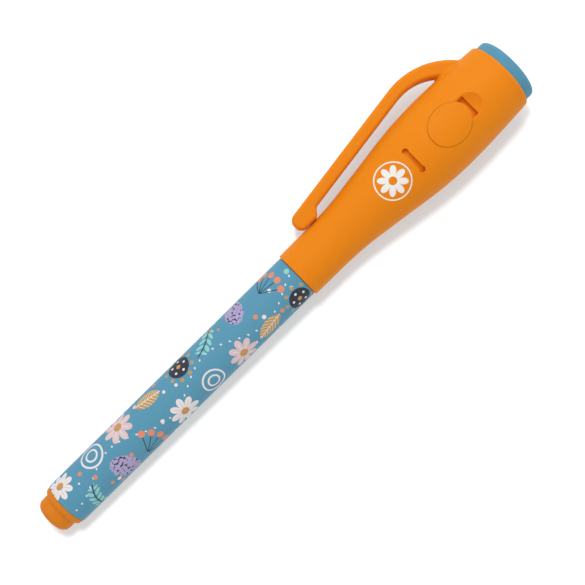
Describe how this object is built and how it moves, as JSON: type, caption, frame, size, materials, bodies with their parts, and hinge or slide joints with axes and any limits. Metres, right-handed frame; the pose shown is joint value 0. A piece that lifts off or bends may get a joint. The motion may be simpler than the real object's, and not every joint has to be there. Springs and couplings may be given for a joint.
{
  "type": "uv invisible ink pen",
  "caption": "Felt-tip pen for invisible ink: a straight printed barrel and a flared pull-off cap with a side clip, a push button and an ultraviolet lamp in its end.",
  "frame": {"origin": "on the pen's axis, halfway along the barrel", "axes": "+X along the pen from the tail to the lamp, +Y out through the clip, +Z out through the push button"},
  "size_m": [0.1345, 0.023, 0.0177],
  "materials": {
    "printed_barrel": "blue moulded plastic with an all-over print",
    "blue_plastic": "moulded, satin",
    "orange_plastic": "moulded, satin",
    "white_plastic": "moulded, matt",
    "felt": "bonded fibre",
    "film": "thin clear film",
    "cell_can": "nickel-plated steel",
    "spring_steel": "plated",
    "contact_brass": "rolled strip",
    "lead_wire": "tinned",
    "lamp_resin": "clear cast resin"
  },
  "bodies": {
    "pen": {"barrel": "printed_barrel", "tail_plug": "orange_plastic", "nib_section": "white_plastic", "fibre_nib": "felt", "ink_core": "felt", "core_wrap": "film"},
    "cap": {"cap_shell": "orange_plastic", "inner_cap": "white_plastic", "lamp_plug": "blue_plastic", "uv_led": "lamp_resin", "cell_cradle": "white_plastic", "button_cell_1": "cell_can", "button_cell_2": "cell_can", "button_cell_3": "cell_can", "contact_spring": "spring_steel", "plus_contact": "contact_brass", "switch_leaf": "contact_brass", "led_anode_lead": "lead_wire", "led_cathode_lead": "lead_wire"},
    "button": {"push_button": "orange_plastic"}
  },
  "joints": [
    {"name": "cap_pull", "type": "slide", "parent": "pen", "child": "cap", "axis": [1, 0, 0], "range_m": [0, 0.045]},
    {"name": "button_press", "type": "slide", "parent": "cap", "child": "button", "axis": [0, 0, -1], "range_m": [0, 0.0007], "stiffness_N_per_m": 1500, "deforming": ["switch_leaf"]}
  ]
}
